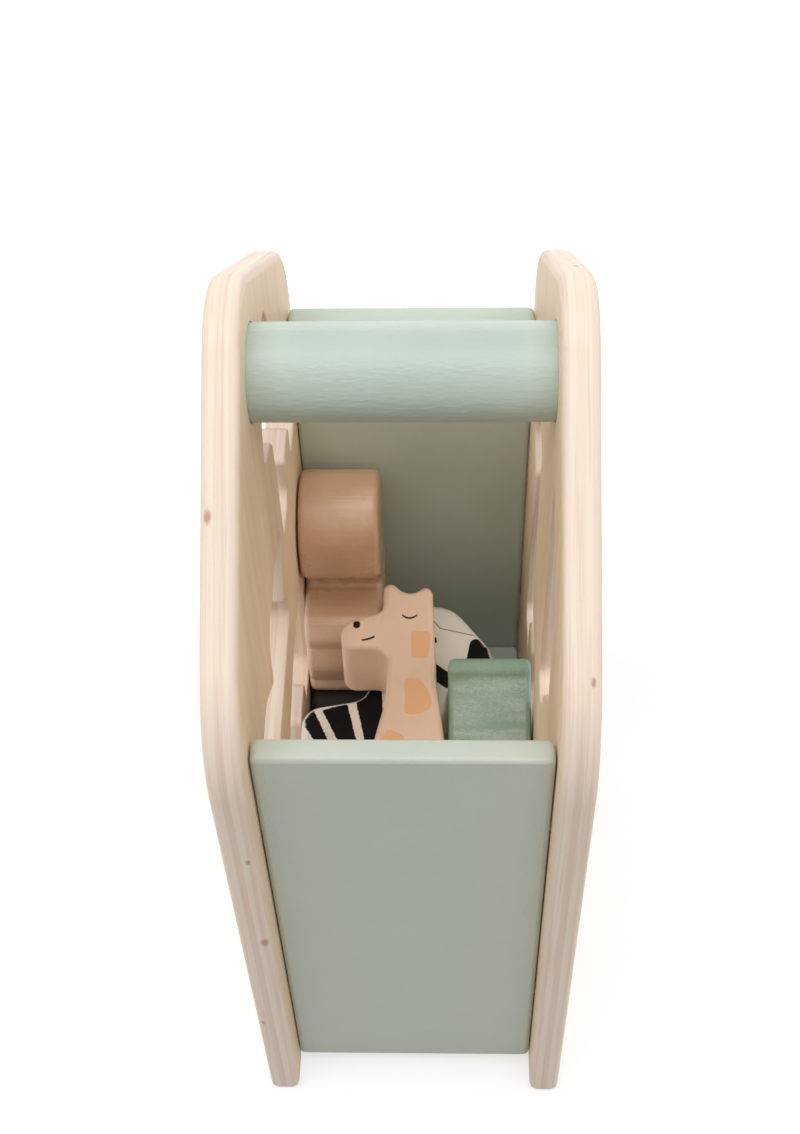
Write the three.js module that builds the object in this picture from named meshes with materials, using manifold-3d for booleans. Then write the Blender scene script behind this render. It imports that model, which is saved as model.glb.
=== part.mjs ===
// Animal shape sorter: a house-shaped carry box of plywood and painted boards, with five animal blocks.
// Millimetres, +Z up. Origin on the table under the middle of the box, X along the handle, front at -Y.
import * as THREE from 'three';
import { mergeVertices } from 'three/addons/utils/BufferGeometryUtils.js';
import Module from 'manifold-3d';

// Side panels
const innerWidth = 74; // clear width between the two side panels
const plywood = 9; // thickness of each side panel
const panelLength = 177; // side panel, front to back
const eaveHeight = 200.3; // where the upright edges would meet the roof slopes
const apexHeight = 265.7; // where the two roof slopes would meet
const eaveRadius = 40;
const apexRadius = 22;
const footRadius = 3;
const plywoodRoundOver = 2.2;

// Painted end boards and base board
const endSetback = 9.35; // outer face of an end board behind the side panels' edges
const endThickness = 6.6;
const endBottom = 6.5; // lower edge of both end boards above the table
const endTop = 185;
const baseTop = 22.4; // floor of the box above the table
const baseThickness = 6.4;
const boardRoundOver = 1.3;
const boardCornerRadius = 2;

// Handle and joinery
const handleDiameter = 24.5;
const handleDrop = 29.9; // middle of the handle below the apex
const handleSocketDepth = 4;
const pegDiameter = 4;
const pegChamfer = 0.6;
const pegDepthInPlywood = 5.5;
const pegDepthInBoard = 14;
const endPegHeights = { lower: 52, upper: 150 };
const basePegReach = 45; // base pegs in front of and behind the middle
const fitGap = 0.3; // clearance between pieces that touch

// Animal blocks and the cut-outs that they drop through
const blockThickness = 25.5;
const blockRoundOver = 2;
const cutOutClearance = 1.5; // all round a block in its own cut-out
const cutOutEase = 0.6; // chamfer round the cut-outs on both faces of a panel
const blockWallGap = 0.6; // between a block and the side panel beside it
const chordError = 0.08; // how far a facet may stray from a true arc
const weldDistance = 0.02; // points nearer than this are one point

const halfWidth = innerWidth / 2;
const halfLength = panelLength / 2;
const endOuterFace = halfLength - endSetback;
const endInnerFace = endOuterFace - endThickness;
const endMiddle = endOuterFace - endThickness / 2;
const boardHalfWidth = halfWidth - fitGap;
const baseHalfLength = endInnerFace - fitGap;
const baseMiddle = baseTop - baseThickness / 2;
const handleHeight = apexHeight - handleDrop;

// Outlines of the animals, all facing left with their feet on v = 0.
// Each corner is [u, v, radius]; the corners run anticlockwise.
const animals = {
  giraffe: [
    [-24, 0, 3], [-8.5, 0, 3], [-8.5, 20, 5], [8, 20, 5], [8, 0, 3], [24, 0, 3], // hooves and belly
    [24, 32, 8], [1.6, 34.5, 4], [-1.8, 64, 40], // rump, withers and nape
    [-3.4, 104, 2.4], [-10.6, 96.8, 4], [-19.4, 106.2, 2.4], // two horns and the dip between them
    [-19, 91, 4], [-32.6, 86.6, 6], [-31.8, 76, 4], // brow, snout and chin
    [-17.3, 76.4, 4.5], [-17.4, 58, 40], [-24, 28, 20], // throat, neck and chest
  ],
  zebra: [
    [-13, 0, 3], [1.5, 0, 3], [1.5, 15, 4], [19, 15, 4], [19, 0, 3], [32.3, 0, 3], // hooves and belly
    [32.3, 35.8, 7], [13, 39.5, 6], // rump and withers
    [-1.5, 71.5, 6], [-5, 78.3, 5], [-16.5, 77.7, 12], // mane, ears and forehead
    [-28.5, 61, 5], [-32, 50.5, 5], // muzzle
    [-14.8, 45, 8], [-13.3, 30, 20], // throat and chest
  ],
  lion: [
    [-34.6, 0, 3], [47, 0, 16.4], [47, 33.5, 16.4], // front paw, belly and rump
    [22, 33.5, 8], [5, 20.5, 2.2], // back and the notch behind the mane
    [4, 37.5, 5], [-2.5, 41.3, 7], [-9, 39.3, 1.2], [-18, 41.5, 12], [-27.3, 39.3, 1.2], // locks of the mane
    [-32, 40.6, 4], [-36, 36.5, 5], [-25.5, 15, 3], [-34.6, 6.5, 3], // forehead, chin and front paw
  ],
  crocodile: [
    [-43.9, 0, 2.6], [39.4, 0, 3], [39.4, 7.5, 3], // flat belly and tail
    [31, 14.5, 4], [26.5, 13, 1.5], [20.5, 21.5, 4], [16, 20, 1.5], [9.5, 28, 5], // ridges of the back
    [-28, 27, 5], [-40.2, 6, 3], [-43.9, 5.6, 2.8], // brow, snout and nose
  ],
  elephant: [
    [-20, 0, 3], [-7, 0, 3], [-7, 13, 5], [13, 13, 5], [13, 0, 3], [28, 0, 3], // feet and belly
    [34.5, 40, 20], [4, 47, 60], [-37, 39, 18], // rump, back and forehead
    [-37, 7, 5], [-27, 7, 4], [-27, 17, 3.4], [-20, 17, 3.4], // trunk
  ],
};

// Where each cut-out sits in its side panel, as the [y, z] of its outline's origin
const cutOutPlaces = {
  zebra: [35, 148.5],
  lion: [-23, 122],
  elephant: [13.5, 56.3],
  giraffe: [21.5, 79.5],
  crocodile: [-15.5, 168.5],
};

// Where the loose blocks lie in the box
const elephantMiddle = 34.5; // y of its outline's origin
const zebraHooves = -26.1; // y of its hooves
const giraffeHooves = -60.8; // y of its hooves
const giraffeOffset = 9.2; // x of its outline's origin
const crocodileBelly = 8; // y of its belly

// Colours of the finished pieces
const finishes = {
  plywood: { color: 0xe2cfb0, roughness: 0.62 },
  sage: { color: 0xb9c4b6, roughness: 0.55 },
  beech: { color: 0xd2ad80, roughness: 0.65 },
  giraffe: { color: 0xd9b898, roughness: 0.5 },
  zebra: { color: 0xe6ded2, roughness: 0.5 },
  lion: { color: 0xc09a78, roughness: 0.5 },
  crocodile: { color: 0x7f9f86, roughness: 0.55 },
  elephant: { color: 0xa9aaa6, roughness: 0.55 },
};

const wasm = await Module();
wasm.setup();

const box = new THREE.Group();
const xAxis = new THREE.Vector3(1, 0, 0);
const yAxis = new THREE.Vector3(0, 1, 0);
const zAxis = new THREE.Vector3(0, 0, 1);

// Twice the signed area of the corner at b between a and c: positive where an anticlockwise outline is convex
function turn(a, b, c) {
  return (b[0] - a[0]) * (c[1] - b[1]) - (b[1] - a[1]) * (c[0] - b[0]);
}

// The corners of the outline that runs a set distance outside a given one
function grown(corners, distance) {
  return corners.map((corner, i) => {
    const before = corners.at(i - 1);
    const after = corners[(i + 1) % corners.length];
    const into = new THREE.Vector2(corner[0] - before[0], corner[1] - before[1]).normalize();
    const out = new THREE.Vector2(after[0] - corner[0], after[1] - corner[1]).normalize();
    const normal = new THREE.Vector2(into.y + out.y, -into.x - out.x).normalize();
    const reach = distance / (normal.x * into.y - normal.y * into.x);
    const convex = turn(before, corner, after) > 0;
    const radius = convex ? corner[2] + distance : Math.max(corner[2] - distance, distance / 2);
    return [corner[0] + normal.x * reach, corner[1] + normal.y * reach, radius];
  });
}

// Corners turned into a closed outline with a true arc at each corner, as large as its two sides allow
function roundedOutline(corners) {
  const count = corners.length;
  const spots = corners.map(([x, y]) => new THREE.Vector2(x, y));
  const sides = spots.map((spot, i) => spots[(i + 1) % count].clone().sub(spot));
  const turns = sides.map((side, i) => {
    const last = sides.at(i - 1);
    return Math.atan2(last.cross(side), last.dot(side));
  });
  const wanted = corners.map((corner, i) => corner[2] * Math.tan(Math.abs(turns[i]) / 2));
  const room = sides.map((side, i) => Math.min(1, side.length() / (wanted[i] + wanted[(i + 1) % count])));
  const points = [];
  spots.forEach((spot, i) => {
    const setback = wanted[i] * Math.min(room.at(i - 1), room[i]);
    const radius = setback / Math.tan(Math.abs(turns[i]) / 2);
    const heading = sides.at(i - 1).angle();
    const start = spot.clone().addScaledVector(sides.at(i - 1).clone().normalize(), -setback);
    const facet = 2 * Math.acos(1 - Math.min(chordError / radius, 0.5));
    const steps = Math.max(2, Math.ceil(Math.abs(turns[i]) / facet));
    const hand = Math.sign(turns[i]);
    for (let step = 0; step <= steps; step += 1) {
      const swept = (turns[i] * step) / steps;
      const along = radius * Math.sin(Math.abs(swept));
      const aside = hand * radius * (1 - Math.cos(swept));
      points.push(new THREE.Vector2(along, aside).rotateAround(new THREE.Vector2(), heading).add(start));
    }
  });
  return points.filter((point, i) => point.distanceTo(points.at(i - 1)) > weldDistance);
}

// A board of the given outline with rounded-over edges, its thickness centred on z = 0
function board(points, thickness, roundOver) {
  const geometry = new THREE.ExtrudeGeometry(new THREE.Shape(points), {
    depth: thickness - 2 * roundOver,
    bevelThickness: roundOver,
    bevelSize: roundOver,
    bevelOffset: -roundOver,
    bevelSegments: 2,
  });
  return geometry.translate(0, 0, roundOver - thickness / 2);
}

// A square-edged prism, for cutting, centred on z = 0
function prism(points, thickness) {
  const shape = new THREE.Shape(points);
  const geometry = new THREE.ExtrudeGeometry(shape, { depth: thickness, bevelEnabled: false });
  return geometry.translate(0, 0, -thickness / 2);
}

// A pad that eases the rim of a cut-out: its sloping sides cross the outline one ease below z = 0
function easingPad(points) {
  return new THREE.ExtrudeGeometry(new THREE.Shape(points), {
    depth: cutOutEase,
    bevelThickness: 2 * cutOutEase,
    bevelSize: 2 * cutOutEase,
    bevelOffset: -cutOutEase,
    bevelSegments: 1,
  });
}

function solid(geometry) {
  const bare = geometry.clone();
  bare.deleteAttribute('normal');
  bare.deleteAttribute('uv');
  const merged = mergeVertices(bare, 1e-4);
  return new wasm.Manifold(new wasm.Mesh({
    numProp: 3,
    vertProperties: new Float32Array(merged.attributes.position.array),
    triVerts: new Uint32Array(merged.index.array),
  }));
}

// The first geometry with all the others cut away
function cut(geometry, tools) {
  const result = tools.reduce((left, tool) => left.subtract(solid(tool)), solid(geometry));
  const mesh = result.getMesh();
  const shape = new THREE.BufferGeometry();
  shape.setAttribute('position', new THREE.BufferAttribute(mesh.vertProperties, 3));
  shape.setIndex(new THREE.BufferAttribute(mesh.triVerts, 1));
  shape.computeVertexNormals();
  return shape;
}

function addPiece(name, geometry, finish) {
  const material = new THREE.MeshStandardMaterial({ ...finishes[finish], metalness: 0 });
  const mesh = new THREE.Mesh(geometry, material);
  mesh.name = name;
  box.add(mesh);
  return mesh;
}

// A round bar along X between two places
function roundBar(radius, from, to, y, z, segments) {
  const bar = new THREE.CylinderGeometry(radius, radius, to - from, segments);
  return bar.rotateZ(Math.PI / 2).translate((from + to) / 2, y, z);
}

// Every peg: where it stands and how deep it goes, on the +X side
const pegPlaces = [];
for (const [end, sign] of [['front', -1], ['rear', 1]]) {
  for (const [level, z] of Object.entries(endPegHeights)) {
    pegPlaces.push({ name: `${end}_${level}`, board: `${end}_end_panel`, y: sign * endMiddle, z });
  }
  pegPlaces.push({ name: `base_${end}`, board: 'base_panel', y: sign * basePegReach, z: baseMiddle });
}

// The socket for one peg, cut through the meeting faces of plywood and board
function pegSocket(place, side) {
  const inner = side * (halfWidth - pegDepthInBoard);
  const outer = side * (halfWidth + pegDepthInPlywood);
  const [from, to] = [Math.min(inner, outer), Math.max(inner, outer)];
  return roundBar(pegDiameter / 2 + fitGap, from - fitGap, to + fitGap, place.y, place.z, 16);
}

function pegSockets(boardName) {
  const places = pegPlaces.filter((place) => place.board === boardName);
  return places.flatMap((place) => [pegSocket(place, -1), pegSocket(place, 1)]);
}

// One cut-out, as the solids to cut away: an animal's outline grown by its clearance, turned and set in a
// side panel, and a pad at each face of the panel
function cutOut(animal, { turned = 0, flipped = false }) {
  const place = new THREE.Vector2(...cutOutPlaces[animal]);
  const points = roundedOutline(grown(animals[animal], cutOutClearance)).map((point) => {
    const spot = new THREE.Vector2(flipped ? -point.x : point.x, point.y);
    return spot.rotateAround(new THREE.Vector2(), turned).add(place);
  });
  const outline = flipped ? points.reverse() : points;
  return [
    prism(outline, plywood + 2 * cutOutEase),
    easingPad(outline).translate(0, 0, plywood / 2),
    easingPad(outline).translate(0, 0, -plywood / 2 - cutOutEase),
  ];
}

// House-shaped side panels with the handle sockets and the animal cut-outs
const house = roundedOutline([
  [-halfLength, 0, footRadius], [halfLength, 0, footRadius],
  [halfLength, eaveHeight, eaveRadius], [0, apexHeight, apexRadius], [-halfLength, eaveHeight, eaveRadius],
]);
const sideCutOuts = {
  left: [
    ...cutOut('zebra', {}),
    ...cutOut('lion', { flipped: true }),
    ...cutOut('elephant', {}),
  ],
  right: [
    ...cutOut('giraffe', { flipped: true }),
    ...cutOut('crocodile', { flipped: true, turned: Math.PI / 2 }),
  ],
};
const acrossBox = new THREE.Matrix4().makeBasis(yAxis, zAxis, xAxis);
for (const [side, sign] of [['left', -1], ['right', 1]]) {
  const middle = sign * (halfWidth + plywood / 2);
  const stand = new THREE.Matrix4().makeTranslation(middle, 0, 0).multiply(acrossBox);
  const blank = board(house, plywood, plywoodRoundOver).applyMatrix4(stand);
  const cutOuts = sideCutOuts[side].map((tool) => tool.applyMatrix4(stand));
  const reach = sign * (halfWidth + handleSocketDepth);
  const socket = roundBar(
    handleDiameter / 2 + fitGap, Math.min(0, reach), Math.max(0, reach), 0, handleHeight, 48,
  );
  const pegs = pegPlaces.map((place) => pegSocket(place, sign));
  addPiece(`${side}_side_panel`, cut(blank, [...cutOuts, socket, ...pegs]), 'plywood');
}

// Painted boards that close the two ends and the bottom
const endOutline = roundedOutline([
  [-boardHalfWidth, endBottom, boardCornerRadius], [boardHalfWidth, endBottom, boardCornerRadius],
  [boardHalfWidth, endTop, boardCornerRadius], [-boardHalfWidth, endTop, boardCornerRadius],
]);
for (const [end, sign] of [['front', -1], ['rear', 1]]) {
  const blank = board(endOutline, endThickness, boardRoundOver);
  blank.rotateX(Math.PI / 2).translate(0, sign * endMiddle, 0);
  addPiece(`${end}_end_panel`, cut(blank, pegSockets(`${end}_end_panel`)), 'sage');
}
const baseOutline = roundedOutline([
  [-boardHalfWidth, -baseHalfLength, boardCornerRadius], [boardHalfWidth, -baseHalfLength, boardCornerRadius],
  [boardHalfWidth, baseHalfLength, boardCornerRadius], [-boardHalfWidth, baseHalfLength, boardCornerRadius],
]);
const baseBlank = board(baseOutline, baseThickness, boardRoundOver).translate(0, 0, baseMiddle);
addPiece('base_panel', cut(baseBlank, pegSockets('base_panel')), 'sage');

// Handle: a round bar let into both side panels
const handleReach = halfWidth + handleSocketDepth - fitGap;
const handleBar = roundBar(handleDiameter / 2, -handleReach, handleReach, 0, handleHeight, 48);
addPiece('handle_dowel', handleBar, 'sage');

// Wooden pegs that hold the boards between the side panels
const pegRadius = pegDiameter / 2;
const pegHalfLength = (pegDepthInPlywood + pegDepthInBoard) / 2;
const pegProfile = [
  [0, -pegHalfLength], [pegRadius - pegChamfer, -pegHalfLength], [pegRadius, pegChamfer - pegHalfLength],
  [pegRadius, pegHalfLength - pegChamfer], [pegRadius - pegChamfer, pegHalfLength], [0, pegHalfLength],
].map(([x, y]) => new THREE.Vector2(x, y));
for (const place of pegPlaces) {
  for (const [side, sign] of [['left', -1], ['right', 1]]) {
    const peg = addPiece(`${place.name}_${side}_peg`, new THREE.LatheGeometry(pegProfile, 12), 'beech');
    peg.rotation.z = Math.PI / 2;
    peg.position.set(sign * (halfWidth + (pegDepthInPlywood - pegDepthInBoard) / 2), place.y, place.z);
  }
}

// A block whose outline axes u and v lie along the given directions, with its thickness square to both
function addBlock(animal, along, up, position) {
  const geometry = board(roundedOutline(animals[animal]), blockThickness, blockRoundOver);
  const block = addPiece(`${animal}_block`, geometry, animal);
  const through = new THREE.Vector3().crossVectors(along, up);
  block.setRotationFromMatrix(new THREE.Matrix4().makeBasis(along, up, through));
  block.position.copy(position);
}

// How far an animal's outline reaches along u (0) or v (1)
function reachOf(animal, index) {
  const values = roundedOutline(animals[animal]).map((point) => (index ? point.y : point.x));
  return { least: Math.min(...values), most: Math.max(...values) };
}

// Blocks lying flat on one another: elephant on the floor, then zebra, then giraffe
const layer = blockThickness + fitGap;
const firstLayer = baseTop + fitGap + blockThickness / 2;
const leftWall = -halfWidth + blockWallGap;
const rightWall = halfWidth - blockWallGap;
const left = xAxis.clone().negate();
const forward = yAxis.clone().negate();
const down = zAxis.clone().negate();
const elephantFeet = leftWall + reachOf('elephant', 1).most;
addBlock('elephant', yAxis, left, new THREE.Vector3(elephantFeet, elephantMiddle, firstLayer));
const zebraMiddle = leftWall + reachOf('zebra', 0).most;
addBlock('zebra', left, yAxis, new THREE.Vector3(zebraMiddle, zebraHooves, firstLayer + layer));
addBlock('giraffe', xAxis, yAxis, new THREE.Vector3(giraffeOffset, giraffeHooves, firstLayer + 2 * layer));

// Blocks standing on end: the lion head down on the elephant in the rear left corner, its feet to the rear
// end board, and the crocodile head up on the floor
const lionFeet = endInnerFace - fitGap;
const lionMiddle = baseTop + fitGap + layer - reachOf('lion', 0).least;
addBlock('lion', zAxis, forward, new THREE.Vector3(leftWall + blockThickness / 2, lionFeet, lionMiddle));
const crocodileMiddle = baseTop + fitGap + reachOf('crocodile', 0).most;
const crocodileAcross = rightWall - blockThickness / 2;
addBlock('crocodile', down, forward, new THREE.Vector3(crocodileAcross, crocodileBelly, crocodileMiddle));

export default box;
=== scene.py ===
import math

import bpy
from mathutils import Matrix, Vector


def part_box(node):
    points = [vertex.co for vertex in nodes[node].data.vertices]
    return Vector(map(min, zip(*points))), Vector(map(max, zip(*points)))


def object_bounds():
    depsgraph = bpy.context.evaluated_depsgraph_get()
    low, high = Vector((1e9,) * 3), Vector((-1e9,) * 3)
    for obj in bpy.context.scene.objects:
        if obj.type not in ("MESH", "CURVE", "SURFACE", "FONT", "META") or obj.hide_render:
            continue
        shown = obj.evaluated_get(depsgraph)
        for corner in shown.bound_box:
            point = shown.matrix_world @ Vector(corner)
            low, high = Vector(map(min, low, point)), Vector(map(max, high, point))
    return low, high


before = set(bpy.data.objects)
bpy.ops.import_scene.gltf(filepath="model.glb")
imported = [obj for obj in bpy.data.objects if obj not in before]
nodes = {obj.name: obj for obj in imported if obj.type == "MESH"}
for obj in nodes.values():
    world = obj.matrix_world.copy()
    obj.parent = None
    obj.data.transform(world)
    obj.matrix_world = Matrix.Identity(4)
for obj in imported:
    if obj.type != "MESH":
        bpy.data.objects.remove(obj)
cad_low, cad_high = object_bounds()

MM = 0.001
WHITE = (1, 1, 1, 1)
X, Y, Z = range(3)

# Camera, solved from the edges of the box in the photograph, in metres
CAMERA_SPOT = Vector((0.01096, -0.2853, 0.5175))
CAMERA_FORWARD = Vector((-0.0294, 0.6231, -0.7816))
CAMERA_UP = Vector((0.0003, 0.7819, 0.6234))
CAMERA_NEAR = 0.01
CAMERA_LENS = 51.98  # millimetres
CAMERA_SENSOR = 36.0  # millimetres, along the long side of the frame

# Studio, in metres and watts
KEY_POWER = 24.5
KEY_WIDTH = 2.2
KEY_DEPTH = 1.2
KEY_SPOT = Vector((-0.08, -0.42, 1.75))
FILL_POWER = 6.0
FILL_SIZE = 1.0
FILL_SPOTS = [Vector((-1.6, 0.1, 0.5)), Vector((1.6, 0.1, 0.5)), Vector((0.1, 1.7, 0.5))]
WORLD_STRENGTH = 0.32
FLOOR_SIZE = 12.0
PAPER = (0.45, 0.45, 0.45, 1.0)
PAPER_ROUGHNESS = 0.9
FLOOR_GLOW = 0.62  # what the camera sees of the floor in full shade under the box, where 1 is white
SHADE_REACH = (110, 300)  # millimetres from the middle, over which the floor turns plain white

# Paint and wood colours, as sRGB values from 0 to 255, a few lightened or darkened as painted light or
# shade
SAGE = (196, 204, 192)
SAGE_DEEP = (194, 202, 190)
# Painted light: the rear board has a lighter, greener copy of the board sage, for the light inside the
# box
SAGE_LIT_REAR = (200, 214, 201)
SAGE_LIT_REAR_DEEP = (198, 212, 199)
# Painted shade: the handle has a darker copy of the board sage, which tones down its lit top
SAGE_SHADED_HANDLE = (189, 203, 194)
SAGE_SHADED_HANDLE_DEEP = (185, 200, 190)
VENEER_PALE = (248, 225, 195)
VENEER_DARK = (242, 215, 182)
PLY_LONG = (243, 226, 208)
PLY_END = (235, 211, 192)
PLY_GLUE = (222, 192, 172)
KNOT = (176, 104, 70)
BEECH_PALE = (224, 190, 146)
BEECH_DARK = (203, 164, 118)
SAND = (248, 216, 190)
SAND_DEEP = (243, 209, 182)
PATCH = (250, 193, 144)
TAN = (212, 174, 142)
TAN_DEEP = (202, 162, 128)
MANE = (236, 200, 170)
CHALK = (246, 238, 227)
CHALK_DEEP = (239, 230, 218)
INK = (12, 11, 11)
BROWN_LINE = (120, 92, 74)
LEAF = (156, 187, 167)
LEAF_DEEP = (146, 178, 157)
# Painted sheen: a lighter green laid over the crocodile's sawn snout in place of its shine
LEAF_PAINTED_SHEEN = (208, 221, 212)
# The elephant's grey is darkened almost to black: partly its own colour, partly painted shade for the
# gap under the lion
STONE_AND_SHADE = (60, 58, 57)
STONE_AND_SHADE_DEEP = (50, 48, 47)

# Relief of wood and paint, in millimetres
PLY_RELIEF = 0.12
SAGE_RELIEF = 0.14
HANDLE_RELIEF = 0.17
BEECH_RELIEF = 0.1
BLOCK_RELIEF = 0.15
SNOUT_RELIEF = 0.18

# Roughness: what the noise of a finish adds, and what is there without it
PLY_ROUGHNESS = (0.2, 0.42)
SAGE_ROUGHNESS = (0.08, 0.42)
BEECH_ROUGHNESS = (0.2, 0.5)
BLOCK_ROUGHNESS = (0.2, 0.34)
SNOUT_ROUGHNESS = (-0.1, 0.38)

# Gloss of the block paints
MATT = 0.15
SATIN = 0.35
SHINY = 0.7
GLOSS_POLISH = 0.2  # roughness that full gloss takes away

# Wood grain and brush marks, in cycles per millimetre along x, y and z
STREAK_GRAIN = (0.9, 0.02, 0.02)
PORE_GRAIN = (2.2, 2.2, 2.2)
FIBRE_GRAIN = (1.5, 1.5, 0.03)
FIGURE_GRAIN = (0.3, 0.22, 0.008)
PLY_DRIFT = (0.02, 0.02, 0.02)
BOARD_GRAIN_UP = (1.4, 1.4, 0.03)
BOARD_GRAIN_BACK = (1.4, 0.03, 1.4)
BAR_GRAIN = (0.12, 0.7, 0.7)
PEG_GRAIN = (0.08, 1.6, 1.6)
BLOCK_GRAIN_BACK = (1.2, 0.04, 1.2)
BLOCK_GRAIN_ACROSS = (0.04, 1.2, 1.2)
LION_GRAIN = (0.04, 1.1, 1.1)
BOARD_BRUSH = (0.7, 0.7, 0.7)
BAR_BRUSH = (0.35, 0.9, 0.9)
BLOCK_BRUSH = (0.8, 0.8, 0.8)
BOARD_MOTTLE = (0.05, 0.05, 0.05)
BLOCK_MOTTLE = (0.07, 0.07, 0.07)
SNOUT_BANDS = (0.03, 0.22, 0.22)
SNOUT_SPARKLE = (1.1, 2.2, 2.2)

# Parts of the noise, which runs from 0 to 1, over which a second colour comes in
MOTTLE_RANGE = (0.3, 0.7)
STREAK_RANGE = (0.48, 0.66)
PORE_RANGE = (0.62, 0.78)
FIGURE_RANGE = (0.35, 0.7)
FIBRE_RANGE = (0.5, 0.8)
BOARD_FIBRE_RANGE = (0.55, 0.8)
PAINTED_SHEEN_RANGE = (0.4, 0.62)

# Plywood make-up
PLY_COUNT = 5
PLY_WAVER = 0.25  # plies that the layers wander by
PLY_BLUR = 0.25  # how softly one ply turns into the next
GLUE_LINE = (0.42, 0.5)  # plies from the middle of a ply, over which its glue line comes in
VENEER_TURN = (0.8, 0.96)  # how far a surface looks sideways where the ply edge gives way to veneer
UPRIGHT_TURN = (0.75, 0.95)  # how far an edge looks forward or back where it counts as upright
END_GRAIN = 0.35  # strength of the cross plies on sloping edges
END_GRAIN_UPRIGHT = 0.6  # what upright edges add to it
FIGURE_SWAY = (0, 22, 0)  # millimetres that the figure of the veneer wanders by
FIGURE_DRIFT = 0.012  # cycles of that wandering per millimetre
KNOTS = {  # small stains on the plywood edges: centre and radius in millimetres
    "left_side_panel": [
        ((-44.1, -44.0, 233.2), 0.9), ((-38.9, -88.5, 106.6), 1.1),
        ((-39.2, -88.5, 151.8), 0.6), ((-44.2, -88.5, 52.9), 0.6),
    ],
    "right_side_panel": [((42.5, 25.5, 246.9), 0.7), ((43.9, -74.3, 210.8), 0.6)],
}
KNOT_SQUEEZE = (1.0, 0.5, 0.5)  # stains run along the edge
KNOT_STRENGTH = 0.7
KNOT_EDGE = (0.9, 1.9)  # radii from the centre, over which a stain fades

# Prints on the blocks
PRINTED_TURN = (0.7, 0.9)  # how far a surface looks along an axis where it counts as a printed face
PRINT_BLUR = 0.12  # millimetres to either side of a mark's edge
PRINT_GRAIN = 1.4  # cycles of the ragged edge per millimetre
PRINT_NARROWEST = 0.1  # share of its width that a taper leaves a mark
PRINT_RAGGED = 0.25  # millimetres, unless a mark says otherwise
BRUSHED_RAGGED = 1.1  # millimetres, on the stripes of the zebra's rump

# Ripples on the crocodile's sawn snout, and the painted sheen that lightens them
SNOUT_RIM = (0.4, 0.1)  # how far a surface looks sideways where it counts as the rim of the block
SNOUT_TURN = (0.3, 0.42)  # how far the rim looks forward where it counts as the snout
BAND_SHARE = 0.65  # broad bands in the shine, the rest being sparkle

# Smooth shading
SHARP_ANGLE = math.radians(50)
WELD_DISTANCE = 0.01 * MM


def linear(colour):
    """An sRGB colour as the linear colour that a shader socket takes."""
    def channel(value):
        part = value / 255
        return part / 12.92 if part <= 0.04045 else ((part + 0.055) / 1.055) ** 2.4
    return (*(channel(value) for value in colour), 1.0)


class NodeMaker:
    """Short calls for adding nodes to one node tree."""

    def __init__(self, tree):
        self.tree = tree

    def add(self, kind, inputs=(), **settings):
        """A new node with its settings, its inputs linked or set by name or number."""
        node = self.tree.nodes.new(kind)
        for name, value in settings.items():
            setattr(node, name, value)
        for key, value in dict(inputs).items():
            self.put(node.inputs[key], value)
        return node

    def put(self, socket, value):
        if isinstance(value, bpy.types.NodeSocket):
            self.tree.links.new(value, socket)
        else:
            socket.default_value = value

    def math(self, operation, first, second=0.0, third=0.0):
        node = self.add("ShaderNodeMath", {0: first, 1: second, 2: third}, operation=operation)
        return node.outputs[0]

    def vector(self, operation, first, second=(0, 0, 0)):
        node = self.add("ShaderNodeVectorMath", {0: first, 1: second}, operation=operation)
        return node.outputs[0]

    def scale(self, vector, factor):
        node = self.add("ShaderNodeVectorMath", {0: vector, 3: factor}, operation="SCALE")
        return node.outputs[0]

    def dot(self, first, second):
        node = self.add("ShaderNodeVectorMath", {0: first, 1: second}, operation="DOT_PRODUCT")
        return node.outputs["Value"]

    def length(self, vector):
        node = self.add("ShaderNodeVectorMath", {0: vector}, operation="LENGTH")
        return node.outputs["Value"]

    def parts(self, vector):
        node = self.add("ShaderNodeSeparateXYZ", {0: vector})
        return node.outputs[0], node.outputs[1], node.outputs[2]

    def ramp(self, value, low, high):
        """0 at low and 1 at high, smooth between them and level beyond them."""
        inputs = {"Value": value, "From Min": low, "From Max": high}
        node = self.add("ShaderNodeMapRange", inputs, interpolation_type="SMOOTHSTEP")
        return node.outputs[0]

    def place(self):
        """Where the point is on the part, in millimetres."""
        coords = self.add("ShaderNodeTexCoord")
        return self.scale(coords.outputs["Object"], 1 / MM)

    def looks_along(self, axis):
        """How far the surface looks along an axis, either way, from 0 to 1."""
        return self.math("ABSOLUTE", self.facing()[axis])

    def facing(self):
        """The way that the surface looks, as three numbers."""
        coords = self.add("ShaderNodeTexCoord")
        return self.parts(coords.outputs["Normal"])

    def noise(self, place, grain, detail=4.0, rough=0.6):
        """Noise from 0 to 1 with the given grain, in cycles per millimetre along each axis."""
        spread = self.vector("MULTIPLY", place, grain)
        inputs = {"Vector": spread, "Scale": 1.0, "Detail": detail, "Roughness": rough}
        return self.add("ShaderNodeTexNoise", inputs).outputs["Fac"]

    def mix(self, share, first, second):
        """The first colour where share is 0 and the second where it is 1."""
        first = linear(first) if isinstance(first, tuple) else first
        second = linear(second) if isinstance(second, tuple) else second
        node = self.add("ShaderNodeMix", {0: share, 6: first, 7: second}, data_type="RGBA")
        return node.outputs[2]

    def tint(self, colour, over, share, strength):
        """The colour with another one over it where share is 1, at the given strength."""
        return self.mix(self.math("MULTIPLY", share, strength), colour, over)


class Finish(NodeMaker):
    """One node material and its main shader."""

    def __init__(self, name):
        self.material = bpy.data.materials.new(name)
        self.material.use_nodes = True
        super().__init__(self.material.node_tree)
        self.shader = self.tree.nodes["Principled BSDF"]

    def colour(self, value):
        self.put(self.shader.inputs["Base Color"], value)

    def roughness(self, value):
        self.put(self.shader.inputs["Roughness"], value)

    def gloss(self, value):
        self.put(self.shader.inputs["Specular IOR Level"], value)

    def bump(self, height, relief):
        """Relief in millimetres for a height of 1."""
        inputs = {"Height": height, "Distance": relief * MM, "Strength": 1.0}
        self.put(self.shader.inputs["Normal"], self.add("ShaderNodeBump", inputs).outputs[0])


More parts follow.
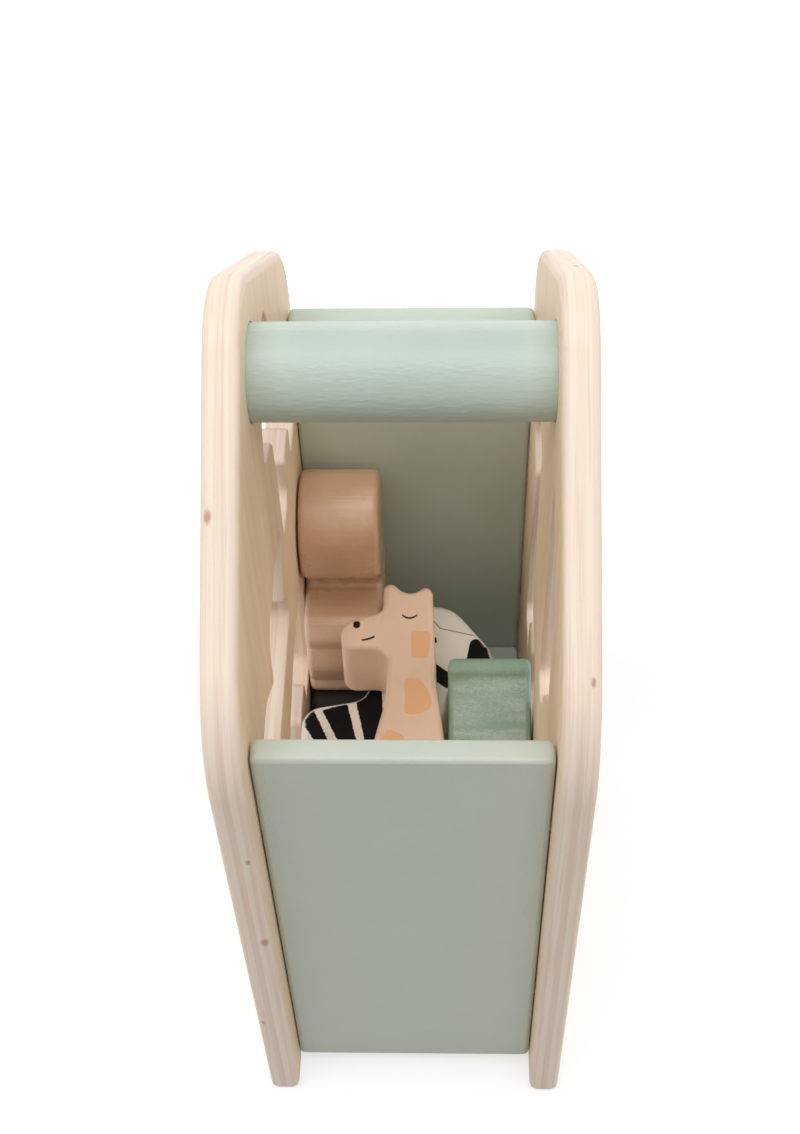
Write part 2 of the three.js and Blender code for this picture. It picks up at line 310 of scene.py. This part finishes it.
def painted_mark_group():
    """A printed mark: a rounded box that can be turned, tapered and bent, with a ragged edge."""
    group = bpy.data.node_groups.new("Printed mark", "ShaderNodeTree")
    for name, kind in (
        ("Spot", "Vector"), ("Centre", "Vector"), ("Half", "Vector"), ("Angle", "Float"),
        ("Corner", "Float"), ("Taper", "Float"), ("Bend", "Float"), ("Ragged", "Float"),
    ):
        group.interface.new_socket(name, in_out="INPUT", socket_type=f"NodeSocket{kind}")
    group.interface.new_socket("Mask", in_out="OUTPUT", socket_type="NodeSocketFloat")
    make = NodeMaker(group)
    given = make.add("NodeGroupInput").outputs

    # The point, shaken a little and seen from the middle of the mark
    grain = {"Vector": given["Spot"], "Scale": PRINT_GRAIN, "Detail": 3.0}
    wobble = make.add("ShaderNodeTexNoise", grain)
    shift = make.vector("SUBTRACT", wobble.outputs["Color"], (0.5, 0.5, 0.5))
    shaken = make.vector("ADD", given["Spot"], make.scale(shift, given["Ragged"]))
    from_centre = make.vector("SUBTRACT", shaken, given["Centre"])
    back = make.math("MULTIPLY", given["Angle"], -1.0)
    turned = make.add(
        "ShaderNodeVectorRotate", {"Vector": from_centre, "Angle": back}, rotation_type="Z_AXIS",
    )
    along, across, _ = make.parts(turned.outputs[0])

    # Bend and taper taken out, so that a plain rounded box is left
    bow = make.math("MULTIPLY", given["Bend"], make.math("MULTIPLY", along, along))
    widening = make.math("MULTIPLY_ADD", given["Taper"], along, 1.0)
    across = make.math("SUBTRACT", across, bow)
    across = make.math("DIVIDE", across, make.math("MAXIMUM", widening, PRINT_NARROWEST))

    # Distance to the edge of the rounded box
    half_along, half_across, _ = make.parts(given["Half"])
    flat_along = make.math("SUBTRACT", half_along, given["Corner"])
    flat_across = make.math("SUBTRACT", half_across, given["Corner"])
    over = make.math("SUBTRACT", make.math("ABSOLUTE", along), flat_along)
    past = make.math("SUBTRACT", make.math("ABSOLUTE", across), flat_across)
    outside = make.math("SQRT", make.math(
        "ADD",
        make.math("POWER", make.math("MAXIMUM", over, 0.0), 2.0),
        make.math("POWER", make.math("MAXIMUM", past, 0.0), 2.0),
    ))
    inside = make.math("MINIMUM", make.math("MAXIMUM", over, past), 0.0)
    distance = make.math("SUBTRACT", make.math("ADD", outside, inside), given["Corner"])
    mask = make.math("SUBTRACT", 1.0, make.ramp(distance, -PRINT_BLUR, PRINT_BLUR))
    make.add("NodeGroupOutput", {"Mask": mask})
    return group


MARK = painted_mark_group()


def print_marks(finish, colour, spot, shows, marks, ink):
    """The colour with marks printed over it where shows is 1.

    A mark has its middle (at) and half sizes along and across (half), in millimetres, and may have an
    angle in degrees, a corner radius, a taper and a bend per millimetre, and a ragged edge.
    """
    for mark in marks:
        inputs = {
            "Spot": spot,
            "Centre": (*mark["at"], 0),
            "Half": (*mark["half"], 0),
            "Angle": math.radians(mark.get("angle", 0)),
            "Corner": mark.get("corner", min(mark["half"])),
            "Taper": mark.get("taper", 0),
            "Bend": mark.get("bend", 0),
            "Ragged": mark.get("ragged", PRINT_RAGGED),
        }
        node = finish.add("ShaderNodeGroup", inputs, node_tree=MARK)
        colour = finish.mix(finish.math("MULTIPLY", node.outputs[0], shows), colour, ink)
    return colour


def ply_edge(finish, name, place, streaks, pores):
    """Colour of a plywood edge: long plies and cross plies in turn, with glue lines and streaks."""
    low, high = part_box(name)
    x, _, _ = finish.parts(place)
    depth = finish.math("DIVIDE", finish.math("SUBTRACT", x, low.x / MM), (high.x - low.x) / MM)
    waver = finish.noise(place, PLY_DRIFT, detail=2.0, rough=0.55)
    layer = finish.math("MULTIPLY_ADD", waver, PLY_WAVER, finish.math("MULTIPLY", depth, PLY_COUNT))
    turn = finish.math("SINE", finish.math("MULTIPLY", layer, math.pi))
    cross_ply = finish.ramp(turn, -PLY_BLUR, PLY_BLUR)
    upright = finish.ramp(finish.looks_along(Y), *UPRIGHT_TURN)
    end_grain = finish.math("MULTIPLY_ADD", upright, END_GRAIN_UPRIGHT, END_GRAIN)
    from_middle = finish.math("ABSOLUTE", finish.math("SUBTRACT", finish.math("FRACT", layer), 0.5))
    glue = finish.ramp(from_middle, *GLUE_LINE)
    colour = finish.tint(PLY_LONG, PLY_END, cross_ply, end_grain)
    colour = finish.tint(colour, PLY_GLUE, glue, strength=0.2)
    colour = finish.tint(colour, PLY_GLUE, finish.ramp(streaks, *STREAK_RANGE), strength=0.45)
    return finish.tint(colour, PLY_GLUE, finish.ramp(pores, *PORE_RANGE), strength=0.25)


def veneer_face(finish, place, fibres):
    """Colour of a plywood face: upright figure that sways a little, and fine fibres."""
    drift = finish.add("ShaderNodeTexNoise", {"Vector": place, "Scale": FIGURE_DRIFT, "Detail": 1.0})
    sway = finish.vector("MULTIPLY", drift.outputs["Color"], FIGURE_SWAY)
    figure = finish.noise(finish.vector("ADD", place, sway), FIGURE_GRAIN, detail=3.0, rough=0.5)
    colour = finish.mix(finish.ramp(figure, *FIGURE_RANGE), VENEER_PALE, VENEER_DARK)
    return finish.tint(colour, VENEER_DARK, finish.ramp(fibres, *FIBRE_RANGE), strength=0.3)


def plywood_finish(name):
    """Birch plywood: upright veneer grain on the faces, ply layers on every edge and cut-out."""
    finish = Finish(name)
    place = finish.place()
    streaks = finish.noise(place, STREAK_GRAIN)
    pores = finish.noise(place, PORE_GRAIN, detail=3.0, rough=0.7)
    fibres = finish.noise(place, FIBRE_GRAIN)
    edge = ply_edge(finish, name, place, streaks, pores)
    face = veneer_face(finish, place, fibres)
    colour = finish.mix(finish.ramp(finish.looks_along(X), *VENEER_TURN), edge, face)
    for centre, radius in KNOTS[name]:
        offset = finish.vector("MULTIPLY", finish.vector("SUBTRACT", place, centre), KNOT_SQUEEZE)
        ragged = finish.math("MULTIPLY_ADD", pores, radius, finish.length(offset))
        fade = finish.ramp(ragged, *(radius * share for share in KNOT_EDGE))
        stain = finish.math("SUBTRACT", 1.0, fade)
        colour = finish.tint(colour, KNOT, stain, KNOT_STRENGTH)
    finish.colour(colour)
    finish.roughness(finish.math("MULTIPLY_ADD", fibres, *PLY_ROUGHNESS))
    streak_height = finish.math("MULTIPLY", streaks, 0.6)
    finish.bump(finish.math("ADD", fibres, streak_height), PLY_RELIEF)
    return finish.material


def sage_finish(name, grain, pale=SAGE, deep=SAGE_DEEP, relief=SAGE_RELIEF, brush=BOARD_BRUSH):
    """Satin sage paint with brush marks, over faint wood grain."""
    finish = Finish(name)
    place = finish.place()
    mottle = finish.noise(place, BOARD_MOTTLE, detail=3.0, rough=0.55)
    fibres = finish.noise(place, grain)
    marks = finish.noise(place, brush, detail=2.0, rough=0.55)
    colour = finish.mix(finish.ramp(mottle, *MOTTLE_RANGE), pale, deep)
    finish.colour(finish.tint(colour, deep, finish.ramp(fibres, *BOARD_FIBRE_RANGE), strength=0.25))
    finish.roughness(finish.math("MULTIPLY_ADD", marks, *SAGE_ROUGHNESS))
    fibre_height = 0.35
    finish.bump(finish.math("MULTIPLY_ADD", fibres, fibre_height, marks), relief)
    return finish.material


def beech_finish():
    """Bare beech of the pegs."""
    finish = Finish("beech")
    fibres = finish.noise(finish.place(), PEG_GRAIN)
    finish.colour(finish.mix(finish.ramp(fibres, *FIGURE_RANGE), BEECH_PALE, BEECH_DARK))
    finish.roughness(finish.math("MULTIPLY_ADD", fibres, *BEECH_ROUGHNESS))
    finish.bump(fibres, BEECH_RELIEF)
    return finish.material


def block_paint(finish, place, pale, deep, grain, gloss):
    """Satin paint on a sawn block: a little uneven, with the grain just showing. Returns its colour."""
    mottle = finish.noise(place, BLOCK_MOTTLE, detail=3.0, rough=0.55)
    fibres = finish.noise(place, grain)
    marks = finish.noise(place, BLOCK_BRUSH, detail=2.0, rough=0.55)
    finish.gloss(gloss)
    added, base = BLOCK_ROUGHNESS
    finish.roughness(finish.math("MULTIPLY_ADD", mottle, added, base - GLOSS_POLISH * gloss))
    mark_height = finish.math("MULTIPLY", marks, 0.6)
    finish.bump(finish.math("ADD", fibres, mark_height), BLOCK_RELIEF)
    colour = finish.mix(finish.ramp(mottle, *MOTTLE_RANGE), pale, deep)
    return finish.tint(colour, deep, finish.ramp(fibres, *FIBRE_RANGE), strength=0.35)


def block_spot(finish, place, origin, back, up):
    """How far back and up a point lies from the origin of the block's outline, in millimetres."""
    from_origin = finish.vector("SUBTRACT", place, tuple(value / MM for value in origin))
    inputs = {0: finish.dot(from_origin, back), 1: finish.dot(from_origin, up)}
    return finish.add("ShaderNodeCombineXYZ", inputs).outputs[0]


def printed_face(finish, axis):
    """1 on the two sawn faces of a block, which look along the axis."""
    return finish.ramp(finish.looks_along(axis), *PRINTED_TURN)


def giraffe_finish():
    finish = Finish("giraffe_block")
    place = finish.place()
    low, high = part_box("giraffe_block")
    rump = 24 * MM  # behind the outline's origin
    spot = block_spot(finish, place, (high.x - rump, low.y, 0), (1, 0, 0), (0, 1, 0))
    shows = printed_face(finish, Z)
    colour = block_paint(finish, place, SAND, SAND_DEEP, BLOCK_GRAIN_BACK, SATIN)
    patches = [
        {"at": (-7.0, 77.3), "half": (5.2, 2.9), "angle": 88, "corner": 1.4, "taper": 0.02},
        {
            "at": (-7.7, 58.1), "half": (6.8, 3.7), "angle": 99, "corner": 3.5, "taper": -0.045,
            "bend": 0.03,
        },
        {"at": (-15.3, 41.6), "half": (3.4, 3.1), "angle": 60, "corner": 1.6},
        {"at": (-4.5, 37.5), "half": (3.6, 2.9), "angle": 20, "corner": 1.8},
        {"at": (-17.0, 27.5), "half": (3.3, 2.8), "angle": 40, "corner": 1.5},
        {"at": (3.5, 27.0), "half": (4.4, 3.2), "angle": 10, "corner": 1.8},
        {"at": (15.5, 26.5), "half": (4.0, 3.0), "angle": -15, "corner": 1.7},
        {"at": (-16.0, 13.0), "half": (2.6, 2.2), "angle": 25, "corner": 1.2},
        {"at": (16.5, 13.5), "half": (2.8, 2.3), "angle": -20, "corner": 1.2},
    ]
    eye = {"at": (-10.55, 87.7), "half": (2.5, 0.38), "bend": 0.22, "ragged": 0.08}
    mouth = {"at": (-23.4, 79.5), "half": (2.2, 0.38), "angle": 20, "bend": 0.06, "ragged": 0.08}
    nostril = {"at": (-27.3, 85.1), "half": (1.1, 1.45), "ragged": 0.1}
    colour = print_marks(finish, colour, spot, shows, patches, PATCH)
    finish.colour(print_marks(finish, colour, spot, shows, [eye, mouth, nostril], INK))
    return finish.material


def zebra_finish():
    finish = Finish("zebra_block")
    place = finish.place()
    low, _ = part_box("zebra_block")
    rump = 32.3 * MM  # behind the outline's origin
    spot = block_spot(finish, place, (low.x + rump, low.y, 0), (-1, 0, 0), (0, 1, 0))
    shows = printed_face(finish, Z)
    colour = block_paint(finish, place, CHALK, CHALK_DEEP, BLOCK_GRAIN_BACK, MATT)
    rump_stripes = [
        {"at": (27.7, 27.5), "half": (8.2, 2.3), "angle": 62, "corner": 0.8, "taper": 0.03},
        {"at": (19.0, 28.5), "half": (8.4, 3.4), "angle": 70, "corner": 0.8, "taper": 0.03},
        {"at": (9.7, 32.0), "half": (11.5, 3.8), "angle": 82, "corner": 0.9, "taper": 0.02},
    ]
    for stripe in rump_stripes:
        stripe["ragged"] = BRUSHED_RAGGED
    stripes = [
        {"at": (1.0, 30.0), "half": (9.5, 2.9), "angle": 96, "corner": 0.9},
        {"at": (-6.6, 31.0), "half": (8.6, 2.4), "angle": 103, "corner": 0.9},
        {"at": (-11.4, 49.6), "half": (6.2, 2.7), "angle": 40, "corner": 0.9},
        {"at": (4.6, 51.5), "half": (6.6, 2.6), "angle": 22, "corner": 0.9},
        {"at": (0.6, 61.5), "half": (5.0, 2.2), "angle": 12, "corner": 0.8},
        {"at": (25.5, 9.0), "half": (5.6, 1.7), "angle": 8, "corner": 0.8},
        {"at": (-5.8, 9.5), "half": (6.0, 1.7), "angle": -6, "corner": 0.8},
    ]
    muzzle = {"at": (-26.9, 57.6), "half": (5.6, 5.3), "angle": 100, "corner": 2.6, "ragged": 0.15}
    eye = {"at": (-10.5, 63.1), "half": (1.3, 0.75), "angle": 80, "ragged": 0.05}
    face_lines = [
        {"at": (-10.9, 70.0), "half": (2.5, 0.16), "angle": 54, "ragged": 0.1},
        {"at": (-18.2, 66.4), "half": (6.3, 0.16), "angle": 15, "ragged": 0.1},
    ]
    colour = print_marks(finish, colour, spot, shows, face_lines, BROWN_LINE)
    finish.colour(print_marks(finish, colour, spot, shows, [*rump_stripes, *stripes, muzzle, eye], INK))
    return finish.material


def lion_finish():
    finish = Finish("lion_block")
    place = finish.place()
    low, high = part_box("lion_block")
    nose = 35 * MM  # before the outline's origin
    spot = block_spot(finish, place, (0, high.y, low.z + nose), (0, 0, 1), (0, -1, 0))
    shows = printed_face(finish, X)
    colour = block_paint(finish, place, TAN, TAN_DEEP, LION_GRAIN, SHINY)
    back, _, _ = finish.parts(spot)
    mane_end = 6.0  # behind the outline's origin
    colour = finish.mix(finish.ramp(back, mane_end, 0.0), colour, MANE)
    face = {"at": (-16.0, 25.0), "half": (11.5, 9.0), "angle": 65, "ragged": 0.2}
    eye = {"at": (-14.0, 29.0), "half": (2.5, 0.32), "bend": 0.2, "ragged": 0.08}
    nose_tip = {"at": (-23.8, 25.5), "half": (1.7, 1.4), "ragged": 0.1}
    mouth = {"at": (-21.0, 20.0), "half": (2.3, 0.32), "angle": 18, "bend": 0.06, "ragged": 0.08}
    colour = print_marks(finish, colour, spot, shows, [face], SAND)
    finish.colour(print_marks(finish, colour, spot, shows, [eye, nose_tip, mouth], INK))
    return finish.material


def crocodile_finish():
    """Green paint: smooth on the long grain, shiny ripples with a painted sheen on the sawn snout."""
    finish = Finish("crocodile_block")
    place = finish.place()
    _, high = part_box("crocodile_block")
    nose = 43.9 * MM  # before the outline's origin
    spot = block_spot(finish, place, (0, high.y, high.z - nose), (0, 0, -1), (0, -1, 0))
    shows = printed_face(finish, X)
    mottle = finish.noise(place, BLOCK_MOTTLE, detail=3.0, rough=0.55)
    colour = finish.mix(finish.ramp(mottle, *MOTTLE_RANGE), LEAF, LEAF_DEEP)
    _, normal_y, _ = finish.facing()
    forward = finish.math("MULTIPLY", normal_y, -1.0)
    rim = finish.ramp(finish.looks_along(X), *SNOUT_RIM)
    sawn = finish.math("MULTIPLY", rim, finish.ramp(forward, *SNOUT_TURN))
    # Painted sheen: bands and glints of lighter green on the sawn snout stand in for its shine
    bands = finish.noise(place, SNOUT_BANDS, detail=2.0, rough=0.55)
    sparkle = finish.noise(place, SNOUT_SPARKLE, detail=3.0)
    glints = finish.math("MULTIPLY", sparkle, 1 - BAND_SHARE)
    shine = finish.math("MULTIPLY_ADD", bands, BAND_SHARE, glints)
    painted_sheen = finish.math("MULTIPLY", sawn, finish.ramp(shine, *PAINTED_SHEEN_RANGE))
    colour = finish.tint(colour, LEAF_PAINTED_SHEEN, painted_sheen, strength=0.62)
    eye = {"at": (-21.0, 20.0), "half": (2.3, 0.32), "bend": 0.2, "ragged": 0.08}
    nostril = {"at": (-38.0, 4.6), "half": (0.9, 0.8), "ragged": 0.1}
    finish.colour(print_marks(finish, colour, spot, shows, [eye, nostril], INK))
    finish.roughness(finish.math("MULTIPLY_ADD", sawn, *SNOUT_ROUGHNESS))
    marks = finish.noise(place, BLOCK_BRUSH, detail=2.0, rough=0.55)
    ripples = finish.math("MULTIPLY", sawn, sparkle)
    ripple_height = 1.5
    finish.bump(finish.math("MULTIPLY_ADD", ripples, ripple_height, marks), SNOUT_RELIEF)
    return finish.material


def elephant_finish():
    finish = Finish("elephant_block")
    place = finish.place()
    low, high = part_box("elephant_block")
    trunk = 37 * MM  # before the outline's origin
    spot = block_spot(finish, place, (high.x, low.y + trunk, 0), (0, 1, 0), (-1, 0, 0))
    shows = printed_face(finish, Z)
    # Dark grey paint, darkened further as painted shade for the gap under the lion where its top shows
    colour = block_paint(finish, place, STONE_AND_SHADE, STONE_AND_SHADE_DEEP, BLOCK_GRAIN_ACROSS, MATT)
    ear = {"at": (-12.0, 28.0), "half": (8.5, 7.0), "angle": 70, "ragged": 0.15}
    eye = {"at": (-26.0, 31.0), "half": (2.5, 0.32), "bend": 0.2, "ragged": 0.08}
    mouth = {"at": (-30.0, 21.5), "half": (2.1, 0.32), "angle": 20, "bend": 0.06, "ragged": 0.08}
    colour = print_marks(finish, colour, spot, shows, [ear], STONE_AND_SHADE_DEEP)
    finish.colour(print_marks(finish, colour, spot, shows, [eye, mouth], INK))
    return finish.material


def smooth_group():
    """Joins the facets of a solid and shades them smooth, keeping edges above SHARP_ANGLE sharp."""
    group = bpy.data.node_groups.new("Smooth facets", "GeometryNodeTree")
    group.interface.new_socket("Geometry", in_out="INPUT", socket_type="NodeSocketGeometry")
    group.interface.new_socket("Geometry", in_out="OUTPUT", socket_type="NodeSocketGeometry")
    make = NodeMaker(group)
    solid = make.add("NodeGroupInput").outputs[0]
    weld = {"Geometry": solid, "Distance": WELD_DISTANCE}
    solid = make.add("GeometryNodeMergeByDistance", weld).outputs[0]
    angle = make.add("GeometryNodeInputMeshEdgeAngle").outputs[0]
    soft = make.add("FunctionNodeCompare", {0: angle, 1: SHARP_ANGLE}, operation="LESS_THAN").outputs[0]
    for domain, smooth in (("FACE", True), ("EDGE", soft)):
        inputs = {"Geometry": solid, "Shade Smooth": smooth}
        solid = make.add("GeometryNodeSetShadeSmooth", inputs, domain=domain).outputs[0]
    make.add("NodeGroupOutput", {0: solid})
    return group


SMOOTH = smooth_group()


def dress(name, material):
    """Gives a CAD piece its material and smooth shading."""
    piece = nodes[name]
    piece.data.materials.clear()
    piece.data.materials.append(material)
    piece.modifiers.new("Smooth facets", "NODES").node_group = SMOOTH
    weighted = piece.modifiers.new("Even normals", "WEIGHTED_NORMAL")
    weighted.keep_sharp = True


def dress_all():
    for name in ("left_side_panel", "right_side_panel"):
        dress(name, plywood_finish(name))
    dress("front_end_panel", sage_finish("sage_upright", BOARD_GRAIN_UP))
    # The rear board takes the lighter copy of the sage, painted light for the inside of the box
    dress("rear_end_panel", sage_finish("sage_rear", BOARD_GRAIN_UP, SAGE_LIT_REAR, SAGE_LIT_REAR_DEEP))
    dress("base_panel", sage_finish("sage_base", BOARD_GRAIN_BACK))
    # The handle takes the darker copy of the sage, painted shade over its lit top
    dress("handle_dowel", sage_finish(
        "sage_handle", BAR_GRAIN, SAGE_SHADED_HANDLE, SAGE_SHADED_HANDLE_DEEP, HANDLE_RELIEF, BAR_BRUSH,
    ))
    dress("giraffe_block", giraffe_finish())
    dress("zebra_block", zebra_finish())
    dress("lion_block", lion_finish())
    dress("crocodile_block", crocodile_finish())
    dress("elephant_block", elephant_finish())
    beech = beech_finish()
    for name in nodes:
        if name.endswith("_peg"):
            dress(name, beech)


def seen_directly(make):
    """1 where the camera sees the surface, also in a mirror or through glass, and 0 for its light."""
    path = make.add("ShaderNodeLightPath").outputs
    seen = make.math("MAXIMUM", path["Is Camera Ray"], path["Is Glossy Ray"])
    return make.math("MAXIMUM", seen, path["Is Transmission Ray"])


def build_floor():
    """A paper floor that keeps the shadow of the box and looks plain white further out."""
    bpy.ops.mesh.primitive_plane_add(size=FLOOR_SIZE)
    floor = bpy.context.object
    floor.name = "studio_floor"
    paper = Finish("studio_paper")
    paper.colour(PAPER)
    paper.roughness(PAPER_ROUGHNESS)
    paper.gloss(0.0)
    glow = paper.ramp(paper.length(paper.place()), *SHADE_REACH)
    glow = paper.math("MULTIPLY_ADD", glow, 1.0 - FLOOR_GLOW, FLOOR_GLOW)
    glow = paper.math("MULTIPLY", seen_directly(paper), glow)
    paper.put(paper.shader.inputs["Emission Color"], WHITE)
    paper.put(paper.shader.inputs["Emission Strength"], glow)
    floor.data.materials.append(paper.material)


def build_world():
    """Even light from all sides, behind which the camera sees white."""
    world = bpy.data.worlds.new("studio_light")
    world.use_nodes = True
    sky = NodeMaker(world.node_tree)
    background = world.node_tree.nodes["Background"]
    sky.put(background.inputs["Color"], WHITE)
    sky.put(background.inputs["Strength"], sky.math("MAXIMUM", seen_directly(sky), WORLD_STRENGTH))
    bpy.context.scene.world = world


def add_lamp(name, spot, power, width, depth):
    """A soft box aimed at the middle of the part."""
    light = bpy.data.lights.new(name, "AREA")
    light.energy = power
    light.shape = "RECTANGLE"
    light.size = width
    light.size_y = depth
    lamp = bpy.data.objects.new(name, light)
    lamp.location = spot
    lamp.rotation_mode = "QUATERNION"
    lamp.rotation_quaternion = ((cad_low + cad_high) / 2 - spot).to_track_quat("-Z", "Y")
    bpy.context.scene.collection.objects.link(lamp)


def build_studio():
    build_floor()
    build_world()
    add_lamp("key_light", KEY_SPOT, KEY_POWER, KEY_WIDTH, KEY_DEPTH)
    for number, spot in enumerate(FILL_SPOTS):
        add_lamp(f"fill_light_{number}", spot, FILL_POWER, FILL_SIZE, FILL_SIZE)


def build_camera():
    data = bpy.data.cameras.new("photo_camera")
    data.lens = CAMERA_LENS
    data.sensor_width = CAMERA_SENSOR
    data.clip_start = CAMERA_NEAR
    camera = bpy.data.objects.new("photo_camera", data)
    right = CAMERA_FORWARD.cross(CAMERA_UP).normalized()
    up = right.cross(CAMERA_FORWARD).normalized()
    turn = Matrix((right, up, -CAMERA_FORWARD.normalized())).transposed()
    camera.matrix_world = Matrix.Translation(CAMERA_SPOT) @ turn.to_4x4()
    bpy.context.scene.collection.objects.link(camera)
    bpy.context.scene.camera = camera


dress_all()
build_studio()
build_camera()
bpy.context.scene.view_settings.view_transform = "Standard"
